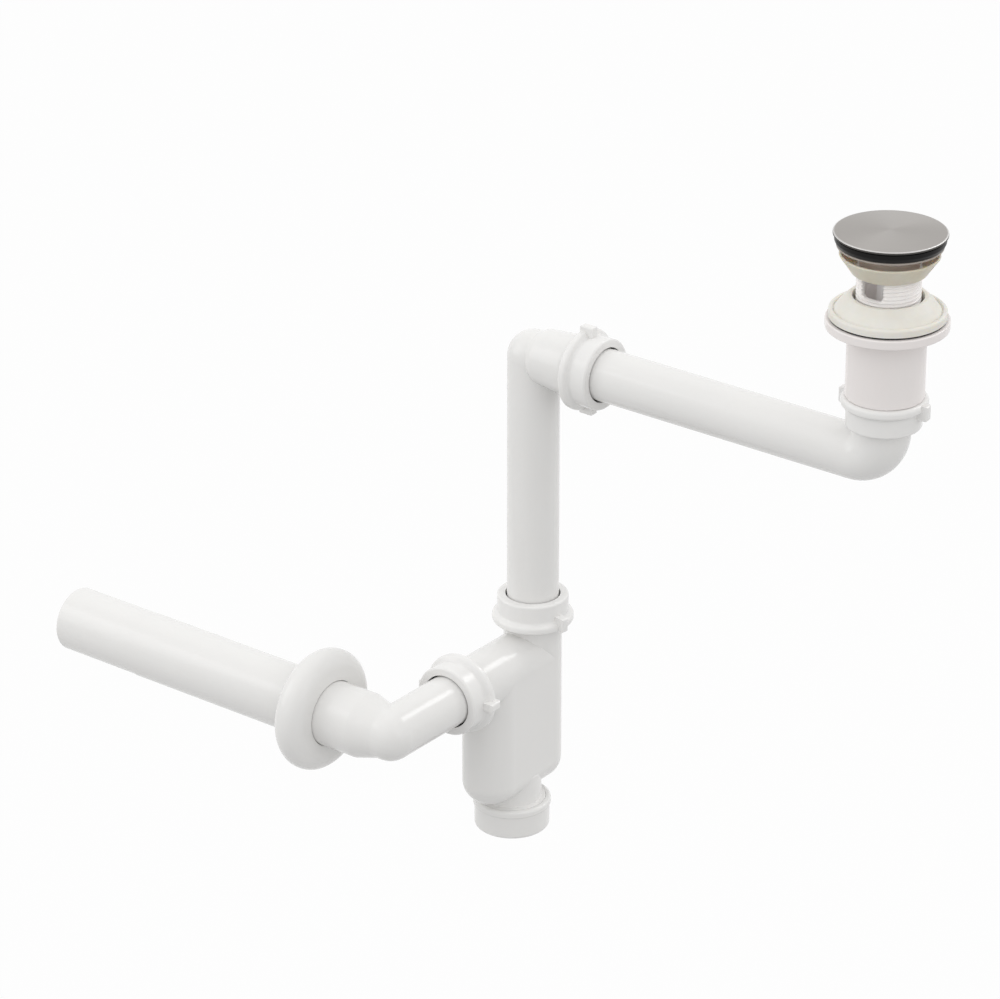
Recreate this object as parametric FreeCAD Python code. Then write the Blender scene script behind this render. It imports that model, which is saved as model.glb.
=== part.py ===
import FreeCAD, Part
import math
import os

# Space saving basin trap: a push-open waste, a long side arm, a riser, a flat water trap
# with its clean-out set off to one side, and a wall pipe with its rosette.
#
# The origin is on the waste's axis, in the plane where the steel dish seats in the basin.
# +Z is up, the arm runs along -X, the trap's outlet along -Y and the wall pipe along -X.
# All sizes are millimetres.

# Routes of the pipes
arm_span = 250.0            # waste axis to riser axis
arm_depth = 131.5           # basin seat down to the arm's axis
outlet_depth = 200.0        # arm's axis down to the outlet's axis
outlet_span = 139.0         # riser axis to the wall pipe's axis
wall_pipe_length = 252.0    # outlet's axis to the wall pipe's end
arm_bend = 18.5             # centre-line radius of the elbow under the waste

# Pipes
pipe_r = 16.0
pipe_wall = 2.0
wall_pipe_r = 20.0          # the last stretch, which the wall connector takes
wall_pipe_barrel_r = 20.3   # the rest of the pipe, moulded a little larger
wall_pipe_wall = 2.0
wall_spigot_length = 60.0
reducer_start = 4.0         # where the outlet widens, from the corner
reducer_length = 15.0
reducer_blend = 6.0
pipe_end_ease = 0.6

# Compression joints: socket, rubber seal, slip ring and screwed ring nut
bore_clear = 0.3            # pipe in its socket
thread_r = 19.8             # crest of a socket's outside thread
thread_clear = 0.15
thread_pitch = 2.309
nut_length = 18.0
nut_r = 22.0
nut_ring_r = 25.2
nut_ring_width = 4.6
nut_ring_foot = 1.8         # how far the mouth ring falls off into the barrel
nut_web = 2.5
nut_hole_clear = 1.0
nut_overhang = 8.0          # how far a tight nut reaches past the socket's mouth
nut_ease = 1.4
nut_ring_back = 2.2         # rounding of the mouth ring, away from the pipe
nut_ring_front = 2.0
nut_ring_blend = 1.6
nut_mouth_ease = 0.5
lug_reach = 3.2
lug_width = 5.2
lug_length = 9.0
lug_ease = 1.2
socket_chamfer = 4.0
socket_lip = 0.9            # wall left at the socket's mouth
slip_ring_thickness = 1.2
joint_gap = 0.1             # between slip ring, seal and nut
seal_nose = 2.6             # how far the seal's cone enters the socket
seal_bore_clear = 0.1

# Riser
riser_socket_r = 19.0
riser_crown_drop = 1.4      # how far the corner's ball sits below the arm's axis
riser_root_r = 14.7         # the socket's root on the riser's axis
riser_socket_start = 4.0    # riser axis to the foot of the socket's shoulder
riser_socket_shoulder = 5.0
riser_shoulder_r = 17.2
riser_socket_taper = 31.0   # riser axis to the end of the socket's taper
riser_socket_stop = 4.0     # shoulder to the stop inside the socket
riser_socket_blend = 4.0
riser_socket_mouth = 46.0
arm_insertion = 22.0        # arm's end, back from the socket's mouth
riser_insertion = 27.5
outlet_insertion = 16.0
arm_upstand = 17.2          # arm's end above the tail's mouth

# Trap body
body_r = 18.0               # half its thickness, and its rounded ends
body_wall = 1.7
body_length = 41.5          # between the centres of its rounded ends
body_bottom = 86.0          # below the outlet's axis
body_bottom_ease = 14.5
inlet_mouth = 32.5          # above the outlet's axis
outlet_mouth = 78.0         # from the riser axis
partition_thickness = 1.8
partition_clear = 1.0       # between the riser pipe and the partition
water_seal = 50.0

# Clean-out under the trap body
cleanout_r = 21.0           # crest of its thread
cleanout_bore_r = 18.6
cleanout_neck_r = 18.3      # plain neck between the body and the thread
cleanout_neck_top = 73.0    # below the outlet's axis
cleanout_collar = 0.4       # height of the thread's own shoulder
cleanout_shoulder = 91.5    # below the outlet's axis
cleanout_neck = 14.8
cleanout_clear = 0.15
cleanout_ring_r = 24.3
cleanout_ring_width = 4.5
cleanout_cap_r = 23.4
cleanout_cap_height = 19.4
cleanout_floor = 2.3
cleanout_gap = 0.2
cleanout_washer_thickness = 2.1
cleanout_washer_bore_r = 15.5

# Wall rosette
rosette_r = 38.0
rosette_front = 44.0        # from the outlet's axis
rosette_depth = 19.4
rosette_wall = 2.0
rosette_round = 9.4
rosette_foot_r = 28.0
rosette_bore_clear = 0.25
rosette_sleeve = 12.0

# Waste: pressed steel dish with its tube and bridge
dish_r = 30.3
dish_rim_height = 1.2
dish_rim_width = 2.3
dish_sheet = 0.9
dish_depth = 3.4
dish_tube_r = 17.0
dish_tube_end = 12.2        # below the basin seat
bridge_thickness = 1.2
bridge_arm_width = 5.0
bridge_ring_r = 10.5
bridge_hole_clear = 0.2

# Stopper
stopper_r = 32.4
stopper_edge = 7.2          # underside of the steel cap, above the basin seat
stopper_rim_height = 1.3
stopper_crown = 1.2
stopper_sheet = 0.8
stopper_ease = 0.8
carrier_core_r = 26.5
carrier_core_bottom = 2.6
carrier_core_wall = 2.2
carrier_plate = 1.2
carrier_boss_r = 6.5
carrier_boss_bottom = -1.0
carrier_rib_count = 6
carrier_rib_width = 1.6
plug_seal_r = 31.5
plug_seal_foot_r = 30.4
plug_seal_groove = 0.7      # depth and height of the groove under the cap
plug_seal_lip = 1.0
plug_seal_gap = 0.1

# Push-open cartridge, measured from the basin seat
stroke = 9.0
plunger_r = 4.0
plunger_tip_r = 2.9
plunger_tip_top = 5.2
plunger_head_r = 5.2
plunger_head_bottom = -20.0
plunger_head_height = 3.5
plunger_pin_r = 1.5
plunger_pin_length = 3.0
cartridge_clear = 0.15
rotor_r = 4.4
rotor_lug_r = 5.3
rotor_height = 3.9
rotor_lug_count = 4
rotor_lug_width = 1.6
cavity_r = 5.6
cavity_bottom = -34.5
barrel_r = 6.8
barrel_bottom = -36.0
collar_flats = 17.0
collar_height = 2.2
upper_barrel_r = 7.6
upper_barrel_top = -2.2
upper_barrel_web = 1.4
stud_r = 4.0
stud_length = 15.0
spring_wire_r = 0.45
spring_r = 4.2
spring_turns = 5.0

# Threaded neck of the waste
neck_r = 18.45
neck_wall = 2.95
neck_bottom = 62.0          # below the basin seat
window_width = 13.7
window_top = 14.0
window_bottom = 26.6
window_ease = 2.4
spider_boss_r = 6.6
spider_boss_height = 14.0
spider_rib_count = 4
spider_rib_width = 2.0
spider_rib_inset = 2.0

# Basin gaskets
cup_rim_r = 29.2
cup_rim = 4.4               # below the basin seat
cup_bottom = 15.6
cup_bottom_r = 21.5
cup_wall = 1.8
cup_floor = 2.0
cup_bore_clear = 0.75
dome_r = 33.6
dome_bore_r = 20.3
dome_top = 29.7             # below the basin seat
dome_top_width = 2.2
dome_shoulder_r = 26.6
dome_shoulder = 33.8
dome_crease_r = 30.6        # where the dome meets the bead around its edge
dome_crease = 38.7
dome_bead = 37.6
dome_bead_width = 2.4
dome_foot_r = 33.1
dome_foot = 0.9
dome_gap = 0.3              # above the tail's flange

# Flanged tail
flange_r = 35.4
flange_top = 43.5           # below the basin seat
flange_thickness = 5.4
flange_ease = 0.8
tail_r = 22.75
tail_wall = 2.0
tail_hub_length = 13.5
neck_thread_clear = 0.15
tail_joint_height = 30.3    # arm's axis up to the mouth of the tail's joint
tail_joint_length = 10.1    # tail's lower edge down to that mouth
tail_mouth = arm_depth - tail_joint_height      # below the basin seat
tail_bottom = tail_mouth - tail_joint_length    # below the basin seat
tail_fillet = 1.0

UP = FreeCAD.Vector(0, 0, 1)
DOWN = FreeCAD.Vector(0, 0, -1)
ALONG_X = FreeCAD.Vector(1, 0, 0)
TO_WALL = FreeCAD.Vector(-1, 0, 0)
TO_OUTLET = FreeCAD.Vector(0, -1, 0)
OVERCUT = 1.0               # how far a cutting solid runs past a face

arm_corner = FreeCAD.Vector(0, 0, -arm_depth)
riser_corner = FreeCAD.Vector(-arm_span, 0, -arm_depth)
body_corner = FreeCAD.Vector(-arm_span, 0, -arm_depth - outlet_depth)
wall_corner = body_corner + TO_OUTLET * outlet_span
cleanout_axis = body_corner + TO_OUTLET * (body_length / 2)

bore_r = pipe_r + bore_clear
nut_thread_r = thread_r + thread_clear
mouth_r = thread_r - socket_lip
nut_hole_r = pipe_r + nut_hole_clear
nut_mouth = nut_overhang - nut_length       # along the socket's axis, from its mouth


def profile_face(corners):
    """A face in the XZ plane inside (radius, height[, rounding]) corners."""
    spans = []
    for i, corner in enumerate(corners):
        here = FreeCAD.Vector(corner[0], 0, corner[1])
        if len(corner) < 3:
            spans.append((here, None, here))
            continue
        before = corners[i - 1]
        after = corners[(i + 1) % len(corners)]
        back = (FreeCAD.Vector(before[0], 0, before[1]) - here).normalize()
        on = (FreeCAD.Vector(after[0], 0, after[1]) - here).normalize()
        half = back.getAngle(on) / 2
        reach = corner[2] / math.tan(half)
        depth = corner[2] / math.sin(half) - corner[2]
        middle = here + (back + on).normalize() * depth
        spans.append((here + back * reach, middle, here + on * reach))
    edges = []
    for i, (start, middle, end) in enumerate(spans):
        previous_end = spans[i - 1][2]
        if (start - previous_end).Length > 1e-6:
            edges.append(Part.LineSegment(previous_end, start).toShape())
        if middle is not None:
            edges.append(Part.Arc(start, middle, end).toShape())
    return Part.Face(Part.Wire(edges))


def turned(corners):
    """A solid turned about the Z axis from (radius, height[, rounding]) corners."""
    return profile_face(corners).revolve(FreeCAD.Vector(), UP, 360)


def place(shape, origin, direction=UP, spin=0.0):
    """The shape with its own Z axis laid along direction, after a spin about it in degrees."""
    placed = shape.copy()
    lay = FreeCAD.Rotation(UP, direction)
    placed.Placement = FreeCAD.Placement(origin, lay * FreeCAD.Rotation(UP, spin))
    return placed


def fused(shapes):
    """The shapes as one solid with no seams between them."""
    return shapes[0].fuse(shapes[1:]).removeSplitter()


def bar(start, end, radius):
    """A round bar between two points."""
    return Part.makeCylinder(radius, (end - start).Length, start, end - start)


def quarter_bend(corner, toward_a, toward_b, bend, radius):
    """A quarter of a round ring that joins two runs meeting at a corner."""
    centre = corner + toward_a * bend + toward_b * bend
    start = corner + toward_a * bend
    disc = Part.Face(Part.Wire(Part.Circle(start, toward_a, radius).toShape()))
    return disc.revolve(centre, toward_b.cross(toward_a), 90)


def radial_ribs(count, width, inner_r, outer_r, bottom, top):
    """Flat ribs that stand out from the Z axis at equal angles."""
    rib = Part.makeBox(outer_r - inner_r, width, top - bottom,
                       FreeCAD.Vector(inner_r, -width / 2, bottom))
    return [place(rib, FreeCAD.Vector(), UP, 360.0 * i / count) for i in range(count)]


# Compression joint pieces, with the socket's mouth at height 0 and the pipe leaving upward
def ring_nut():
    """Screwed ring nut with a thick mouth ring and two gripping lugs."""
    top = nut_overhang
    shell = turned([
        (nut_thread_r, nut_mouth, nut_mouth_ease),
        (nut_ring_r, nut_mouth, nut_ring_back),
        (nut_ring_r, nut_mouth + nut_ring_width, nut_ring_front),
        (nut_r, nut_mouth + nut_ring_width + nut_ring_foot, nut_ring_blend),
        (nut_r, top, nut_ease),
        (nut_hole_r, top),
        (nut_hole_r, top - nut_web),
        (nut_thread_r, top - nut_web),
    ])
    inner = nut_thread_r + thread_clear
    lug = Part.makeBox(nut_ring_r + lug_reach - inner, lug_width, lug_length,
                       FreeCAD.Vector(inner, -lug_width / 2, nut_mouth + 0.4))
    outer_x = nut_ring_r + lug_reach
    tip_edges = [e for e in lug.Edges if all(abs(v.X - outer_x) < 1e-6 for v in e.Vertexes)]
    lug = lug.makeFillet(lug_ease, tip_edges)
    return fused([shell, lug, place(lug, FreeCAD.Vector(), UP, 180)])


def slip_ring():
    """Flat low-friction ring between the nut's web and the rubber seal."""
    top = nut_overhang - nut_web - joint_gap
    bottom = top - slip_ring_thickness
    outer = nut_thread_r - 0.35
    return turned([(nut_hole_r, bottom), (outer, bottom, 0.2), (outer, top, 0.2),
                   (nut_hole_r, top)])


def cone_seal():
    """Rubber ring whose cone is pressed into the socket's mouth."""
    top = nut_overhang - nut_web - slip_ring_thickness - 2 * joint_gap
    inner = pipe_r + seal_bore_clear
    slope = (mouth_r - bore_r) / socket_chamfer
    gap = 0.3
    nose_r = mouth_r - gap - slope * seal_nose
    return turned([
        (inner, -seal_nose),
        (nose_r, -seal_nose, 0.2),
        (mouth_r - gap, 0),
        (mouth_r - gap, gap),
        (nut_thread_r - 0.5, gap),
        (nut_thread_r - 0.5, top, 0.4),
        (inner, top),
    ])


def socket_outside(neck_radius, back):
    """Outside of a socket: a plain neck and the thread that the nut hides."""
    thread_start = nut_mouth + 0.5
    return turned([(0, back), (neck_radius, back), (neck_radius, thread_start),
                   (thread_r, thread_start + 0.6), (thread_r, 0, 0.4), (0, 0)])


def socket_inside(back):
    """Inside of a socket: the pipe's bore and the cone that the seal enters."""
    return turned([(0, back), (bore_r, back), (bore_r, -socket_chamfer), (mouth_r, 0),
                   (mouth_r, OVERCUT), (0, OVERCUT)])


def joint_pieces(name, mouth, direction, spin):
    """The nut, slip ring and seal of one joint, by node name."""
    return {
        name + "_nut": place(ring_nut(), mouth, direction, spin),
        name + "_slip_ring": place(slip_ring(), mouth, direction),
        name + "_seal": place(cone_seal(), mouth, direction),
    }


# Stopper and its push-open cartridge
def crown_ball(crown, edge_r, rise):
    """The ball whose cap has the given rise over the given radius."""
    radius = (edge_r ** 2 + rise ** 2) / (2 * rise)
    return Part.makeSphere(radius, FreeCAD.Vector(0, 0, crown - radius))


def stopper_cap():
    """Pressed steel disc, slightly domed, with a turned-down rim."""
    crown = stopper_edge + stopper_rim_height + stopper_crown
    blank = Part.makeCylinder(stopper_r, crown, FreeCAD.Vector(0, 0, stopper_edge))
    blank = blank.common(crown_ball(crown, stopper_r, stopper_crown))
    top_edge = [e for e in blank.Edges if e.Length > stopper_r and e.BoundBox.ZLength < 1e-3
                and e.BoundBox.ZMin > stopper_edge + stopper_rim_height / 2]
    blank = blank.makeFillet(stopper_ease, top_edge)
    inside = Part.makeCylinder(stopper_r - stopper_sheet, crown,
                               FreeCAD.Vector(0, 0, stopper_edge - OVERCUT))
    inside = inside.common(crown_ball(crown - stopper_sheet, stopper_r, stopper_crown))
    return blank.cut(inside)


def stopper_carrier():
    """Moulded plug body: a plate under the cap, a ring for the seal, a boss and ribs."""
    plate_r = stopper_r - stopper_sheet - 0.1
    crown = stopper_edge + stopper_rim_height + stopper_crown - stopper_sheet - 0.05
    plate = Part.makeCylinder(plate_r, crown, FreeCAD.Vector(0, 0, stopper_edge - carrier_plate))
    plate = plate.common(crown_ball(crown, stopper_r, stopper_crown))
    plate = plate.cut(turned([(carrier_core_r, stopper_edge - 2 * carrier_plate),
                              (stopper_r, stopper_edge - 2 * carrier_plate),
                              (stopper_r, stopper_edge), (carrier_core_r, stopper_edge)]))
    floor = stopper_edge - carrier_plate
    wall = turned([(carrier_core_r - carrier_core_wall, carrier_core_bottom),
                   (carrier_core_r, carrier_core_bottom, 0.5),
                   (carrier_core_r, floor + 0.5),
                   (carrier_core_r - carrier_core_wall, floor + 0.5)])
    boss = Part.makeCylinder(carrier_boss_r, floor + 0.5 - carrier_boss_bottom,
                             FreeCAD.Vector(0, 0, carrier_boss_bottom))
    ribs = radial_ribs(carrier_rib_count, carrier_rib_width, carrier_boss_r - 1,
                       carrier_core_r - 1, carrier_core_bottom + 0.8, floor + 0.5)
    hole = Part.makeCylinder(plunger_tip_r + 0.1, plunger_tip_top - carrier_boss_bottom + 0.1,
                             FreeCAD.Vector(0, 0, carrier_boss_bottom))
    return fused([plate, wall, boss] + ribs).cut(hole)


def stopper_seal():
    """Thick rubber ring under the cap, resting on the dish's rim."""
    bottom = dish_rim_height + plug_seal_gap
    top = stopper_edge - 0.05
    inner = carrier_core_r + 0.05
    groove_r = plug_seal_r - plug_seal_groove
    return turned([(inner, bottom + 0.4), (inner + 0.8, bottom), (plug_seal_foot_r, bottom, 0.7),
                   (plug_seal_r, bottom + 2.4, 1.6), (plug_seal_r, top - plug_seal_lip, 0.3),
                   (groove_r, top - plug_seal_lip, 0.2), (groove_r, top), (inner, top)])


def click_plunger():
    """Plunger that the stopper is screwed to, with the rotor's pin at its foot."""
    head_top = plunger_head_bottom + plunger_head_height
    pin_end = plunger_head_bottom - plunger_pin_length
    return turned([(0, pin_end), (plunger_pin_r, pin_end, 0.3),
                   (plunger_pin_r, plunger_head_bottom),
                   (plunger_head_r, plunger_head_bottom, 0.3),
                   (plunger_head_r, head_top, 0.3), (plunger_r, head_top),
                   (plunger_r, carrier_boss_bottom), (plunger_tip_r, carrier_boss_bottom),
                   (plunger_tip_r, plunger_tip_top, 0.4), (0, plunger_tip_top)])


def click_rotor():
    """Latching ring that turns an eighth of a turn at each stroke."""
    top = plunger_head_bottom - cartridge_clear
    bottom = top - rotor_height
    hole = plunger_pin_r + cartridge_clear
    ring = turned([(hole, bottom), (rotor_r, bottom), (rotor_r, top, 0.3), (hole, top)])
    lugs = radial_ribs(rotor_lug_count, rotor_lug_width, rotor_r - 0.6, rotor_lug_r,
                       bottom + 0.8, top - 0.8)
    return fused([ring] + lugs)


def click_spring():
    """Compression spring between the cartridge's floor and the rotor."""
    bottom = cavity_bottom + spring_wire_r + 0.1
    rotor_foot = plunger_head_bottom - cartridge_clear - rotor_height
    height = rotor_foot - spring_wire_r - 0.1 - bottom
    pitch = height / spring_turns
    path = Part.makeHelix(pitch, height, spring_r)
    path.translate(FreeCAD.Vector(0, 0, bottom))
    start = FreeCAD.Vector(spring_r, 0, bottom)
    rise = pitch / (2 * math.pi)
    section = Part.Wire(Part.Circle(start, FreeCAD.Vector(0, spring_r, rise),
                                    spring_wire_r).toShape())
    return Part.Wire(path.Edges).makePipeShell([section], True, True)


def click_housing():
    """Cartridge body: a barrel with a hexagon collar and the stud that holds the waste."""
    collar_bottom = -dish_tube_end + bridge_thickness
    stud_end = barrel_bottom - stud_length
    body = turned([
        (0, stud_end), (stud_r, stud_end, 0.5), (stud_r, barrel_bottom),
        (barrel_r, barrel_bottom, 0.5), (barrel_r, collar_bottom),
        (upper_barrel_r, collar_bottom), (upper_barrel_r, upper_barrel_top, 0.8),
        (plunger_r + cartridge_clear, upper_barrel_top),
        (plunger_r + cartridge_clear, upper_barrel_top - upper_barrel_web),
        (cavity_r, upper_barrel_top - upper_barrel_web), (cavity_r, cavity_bottom),
        (0, cavity_bottom),
    ])
    corner_r = collar_flats / math.sqrt(3)
    points = [FreeCAD.Vector(corner_r * math.cos(math.radians(60 * i)),
                             corner_r * math.sin(math.radians(60 * i)), collar_bottom)
              for i in range(6)]
    hexagon = Part.Face(Part.makePolygon(points + points[:1]))
    collar = hexagon.extrude(UP * collar_height)
    collar = collar.cut(Part.makeCylinder(cavity_r + 0.5, collar_height + 2 * OVERCUT,
                                          FreeCAD.Vector(0, 0, collar_bottom - OVERCUT)))
    return fused([body, collar])


# Waste body in the basin
def waste_flange():
    """Pressed steel dish, its tube and the bridge that the cartridge's collar holds down."""
    inside_r = dish_r - dish_rim_width
    tube_inner = dish_tube_r - dish_sheet
    dish = turned([
        (dish_r, 0, 0.4), (dish_r, dish_rim_height, 0.5),
        (inside_r, dish_rim_height, 0.4),
        (tube_inner + 0.9, -dish_depth + dish_sheet, 1.2),
        (tube_inner, -dish_depth - 0.6, 0.8),
        (tube_inner, -dish_tube_end), (dish_tube_r, -dish_tube_end),
        (dish_tube_r, -dish_depth - 0.9, 0.5), (dish_tube_r + 0.8, -dish_depth, 0.4),
        (inside_r + 0.2, 0, 1.0),
    ])
    bottom = -dish_tube_end
    top = bottom + bridge_thickness
    arms = radial_ribs(4, bridge_arm_width, bridge_ring_r - 1, tube_inner + dish_sheet / 2,
                       bottom, top)
    ring = turned([(barrel_r + bridge_hole_clear, bottom), (bridge_ring_r, bottom),
                   (bridge_ring_r, top), (barrel_r + bridge_hole_clear, top)])
    return fused([dish, ring] + arms)


def threaded_neck():
    """Neck with two overflow windows and the spider that takes the cartridge's stud."""
    inner = neck_r - neck_wall
    top = -dish_tube_end
    tube = turned([(inner, -neck_bottom), (neck_r, -neck_bottom, 0.8), (neck_r, top, 0.4),
                   (inner, top)])
    window = Part.makeBox(window_width, 2 * neck_r + 2 * OVERCUT, window_bottom - window_top,
                          FreeCAD.Vector(-window_width / 2, -neck_r - OVERCUT, -window_bottom))
    long_edges = [e for e in window.Edges if abs(e.tangentAt(e.FirstParameter).y) > 0.9]
    tube = tube.cut(window.makeFillet(window_ease, long_edges))
    boss_top = barrel_bottom
    boss_bottom = boss_top - spider_boss_height
    boss = turned([(stud_r + 0.05, boss_bottom), (spider_boss_r, boss_bottom, 0.8),
                   (spider_boss_r, boss_top), (stud_r + 0.05, boss_top)])
    ribs = radial_ribs(spider_rib_count, spider_rib_width, spider_boss_r - 1, inner + 0.5,
                       boss_bottom + spider_rib_inset, boss_top - spider_rib_inset)
    return fused([tube, boss] + ribs)


def upper_gasket():
    """Soft cup gasket that centres and seals the dish in the basin's hole."""
    bore = neck_r + cup_bore_clear
    return turned([
        (cup_rim_r, -cup_rim, 0.7), (cup_bottom_r, -cup_bottom, 0.9), (bore, -cup_bottom, 0.3),
        (bore, -cup_bottom + cup_floor, 0.3),
        (cup_bottom_r - 0.6, -cup_bottom + cup_floor, 0.8),
        (cup_rim_r - cup_wall, -cup_rim, 0.5),
    ])


def lower_gasket():
    """Domed gasket that the tail's flange presses up against the basin."""
    bottom = -flange_top + dome_gap
    return turned([
        (dome_bore_r, -dome_top, 0.5), (dome_bore_r + dome_top_width, -dome_top, 1.5),
        (dome_shoulder_r, -dome_shoulder, 6.0), (dome_crease_r, -dome_crease),
        (dome_r - dome_bead_width, -dome_bead, 0.5), (dome_r, -dome_bead, 1.6),
        (dome_r, bottom + dome_foot, 0.2), (dome_foot_r, bottom + dome_foot),
        (dome_foot_r, bottom), (dome_bore_r, bottom, 0.4),
    ])


def flange_tail():
    """Flanged tail: the thread for the neck, a chamber and the joint's spigot."""
    flange_bottom = flange_top + flange_thickness
    outside = turned([
        (0, -flange_top), (flange_r, -flange_top, flange_ease),
        (flange_r, -flange_bottom, flange_ease), (tail_r, -flange_bottom, tail_fillet),
        (tail_r, -tail_bottom, 0.8), (0, -tail_bottom),
    ])
    spigot = place(socket_outside(thread_r - 0.6, tail_bottom - tail_mouth - 2),
                   FreeCAD.Vector(0, 0, -tail_mouth), DOWN)
    hub_r = neck_r + neck_thread_clear
    chamber_r = tail_r - tail_wall
    hub_end = flange_top + tail_hub_length
    taper_end = tail_bottom - 1
    inside = turned([
        (0, -flange_top + OVERCUT), (hub_r, -flange_top + OVERCUT), (hub_r, -hub_end),
        (chamber_r, -hub_end - 2, 1.0), (chamber_r, -taper_end + 5, 2.0),
        (bore_r, -taper_end), (bore_r, -taper_end - 1), (0, -taper_end - 1),
    ])
    bore = place(socket_inside(tail_bottom - tail_mouth - 2),
                 FreeCAD.Vector(0, 0, -tail_mouth), DOWN)
    return fused([outside, spigot]).cut([inside, bore])


# Pipes
def arm_pipe():
    """Side arm with its elbow turned up into the tail."""
    top = FreeCAD.Vector(0, 0, -tail_mouth + arm_upstand)
    far = riser_corner + ALONG_X * (riser_socket_mouth - arm_insertion)
    runs = []
    for radius in (pipe_r, pipe_r - pipe_wall):
        past = 0.0 if radius == pipe_r else OVERCUT
        upright = bar(arm_corner + UP * arm_bend, top + UP * past, radius)
        bend = quarter_bend(arm_corner, UP, TO_WALL, arm_bend, radius)
        level = bar(arm_corner + TO_WALL * arm_bend, far + TO_WALL * past, radius)
        runs.append(fused([upright, bend, level]))
    return runs[0].cut(runs[1])


def riser_pipe():
    """Riser with its tight top corner and the socket for the arm."""
    foot = body_corner + UP * (inlet_mouth - riser_insertion)
    mouth = riser_corner + ALONG_X * riser_socket_mouth
    shoulder_end = riser_socket_start + riser_socket_shoulder
    crown = riser_corner + DOWN * riser_crown_drop
    shoulder = turned([
        (0, 0), (riser_root_r, 0), (riser_root_r, riser_socket_start, riser_socket_blend),
        (riser_shoulder_r, shoulder_end, riser_socket_blend),
        (riser_socket_r, riser_socket_taper, 2 * riser_socket_blend),
        (riser_socket_r, riser_socket_taper + 2), (0, riser_socket_taper + 2),
    ])
    outside = fused([
        bar(foot, crown, pipe_r), Part.makeSphere(pipe_r, crown),
        place(shoulder, riser_corner, ALONG_X),
        place(socket_outside(riser_socket_r, riser_socket_taper - riser_socket_mouth),
              mouth, ALONG_X),
    ])
    inner = pipe_r - pipe_wall
    inner_root = riser_root_r - pipe_wall
    stop = shoulder_end + riser_socket_stop
    inside = fused([
        bar(foot + DOWN * OVERCUT, crown, inner), Part.makeSphere(inner, crown),
        bar(riser_corner, riser_corner + ALONG_X * (stop + 1), inner_root),
    ])
    bore = place(socket_inside(stop - riser_socket_mouth), mouth, ALONG_X)
    return outside.cut([inside, bore])


def outlet_pipe():
    """Outlet pipe: a short run, a sharp corner, a reducer and the long wall pipe."""
    start = body_corner + TO_OUTLET * (outlet_mouth - outlet_insertion)
    widened = reducer_start + reducer_length
    spigot_start = wall_pipe_length - wall_spigot_length
    leg = turned([
        (0, 0), (pipe_r, 0), (pipe_r, reducer_start, reducer_blend),
        (wall_pipe_barrel_r, widened, reducer_blend),
        (wall_pipe_barrel_r, spigot_start), (wall_pipe_r, spigot_start),
        (wall_pipe_r, wall_pipe_length, pipe_end_ease), (0, wall_pipe_length),
    ])
    inner = pipe_r - pipe_wall
    inner_wide = wall_pipe_r - wall_pipe_wall
    leg_inside = turned([
        (0, 0), (inner, 0), (inner, reducer_start), (inner_wide, widened),
        (inner_wide, wall_pipe_length + OVERCUT), (0, wall_pipe_length + OVERCUT),
    ])
    outside = fused([bar(start, wall_corner, pipe_r), Part.makeSphere(pipe_r, wall_corner),
                     place(leg, wall_corner, TO_WALL)])
    inside = fused([bar(start - TO_OUTLET * OVERCUT, wall_corner, inner),
                    Part.makeSphere(inner, wall_corner),
                    place(leg_inside, wall_corner, TO_WALL)])
    return outside.cut(inside)


def wall_rosette():
    """Hollow rounded cover ring that slides along the wall pipe."""
    bore = wall_pipe_barrel_r + rosette_bore_clear
    front = rosette_front
    back = rosette_front + rosette_depth
    inner_r = rosette_r - rosette_wall
    inner_round = rosette_round - rosette_wall
    sleeve_r = bore + rosette_wall
    cover = turned([
        (bore, front, 0.5), (rosette_r, front, rosette_round), (rosette_r, back, rosette_round),
        (rosette_foot_r, back), (rosette_foot_r, back - rosette_wall),
        (inner_r, back - rosette_wall, inner_round), (inner_r, front + rosette_wall, inner_round),
        (sleeve_r, front + rosette_wall, 0.8), (sleeve_r, front + rosette_sleeve),
        (bore, front + rosette_sleeve),
    ])
    return place(cover, wall_corner, TO_WALL)


# Trap body and clean-out
def slab(radius, bottom, top, ease):
    """Upright slab with rounded ends and an eased bottom, about the trap's two axes."""
    near = FreeCAD.Vector(0, 0, bottom)
    far = FreeCAD.Vector(0, -body_length, bottom)
    side = FreeCAD.Vector(radius, 0, 0)
    end = FreeCAD.Vector(0, radius, 0)
    wire = Part.Wire([
        Part.Arc(near - side, near + end, near + side).toShape(),
        Part.LineSegment(near + side, far + side).toShape(),
        Part.Arc(far + side, far - end, far - side).toShape(),
        Part.LineSegment(far - side, near - side).toShape(),
    ])
    block = Part.Face(wire).extrude(UP * (top - bottom))
    low_edges = [e for e in block.Edges if e.BoundBox.ZMax < bottom + 1e-3]
    return block.makeFillet(ease, low_edges)


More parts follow.
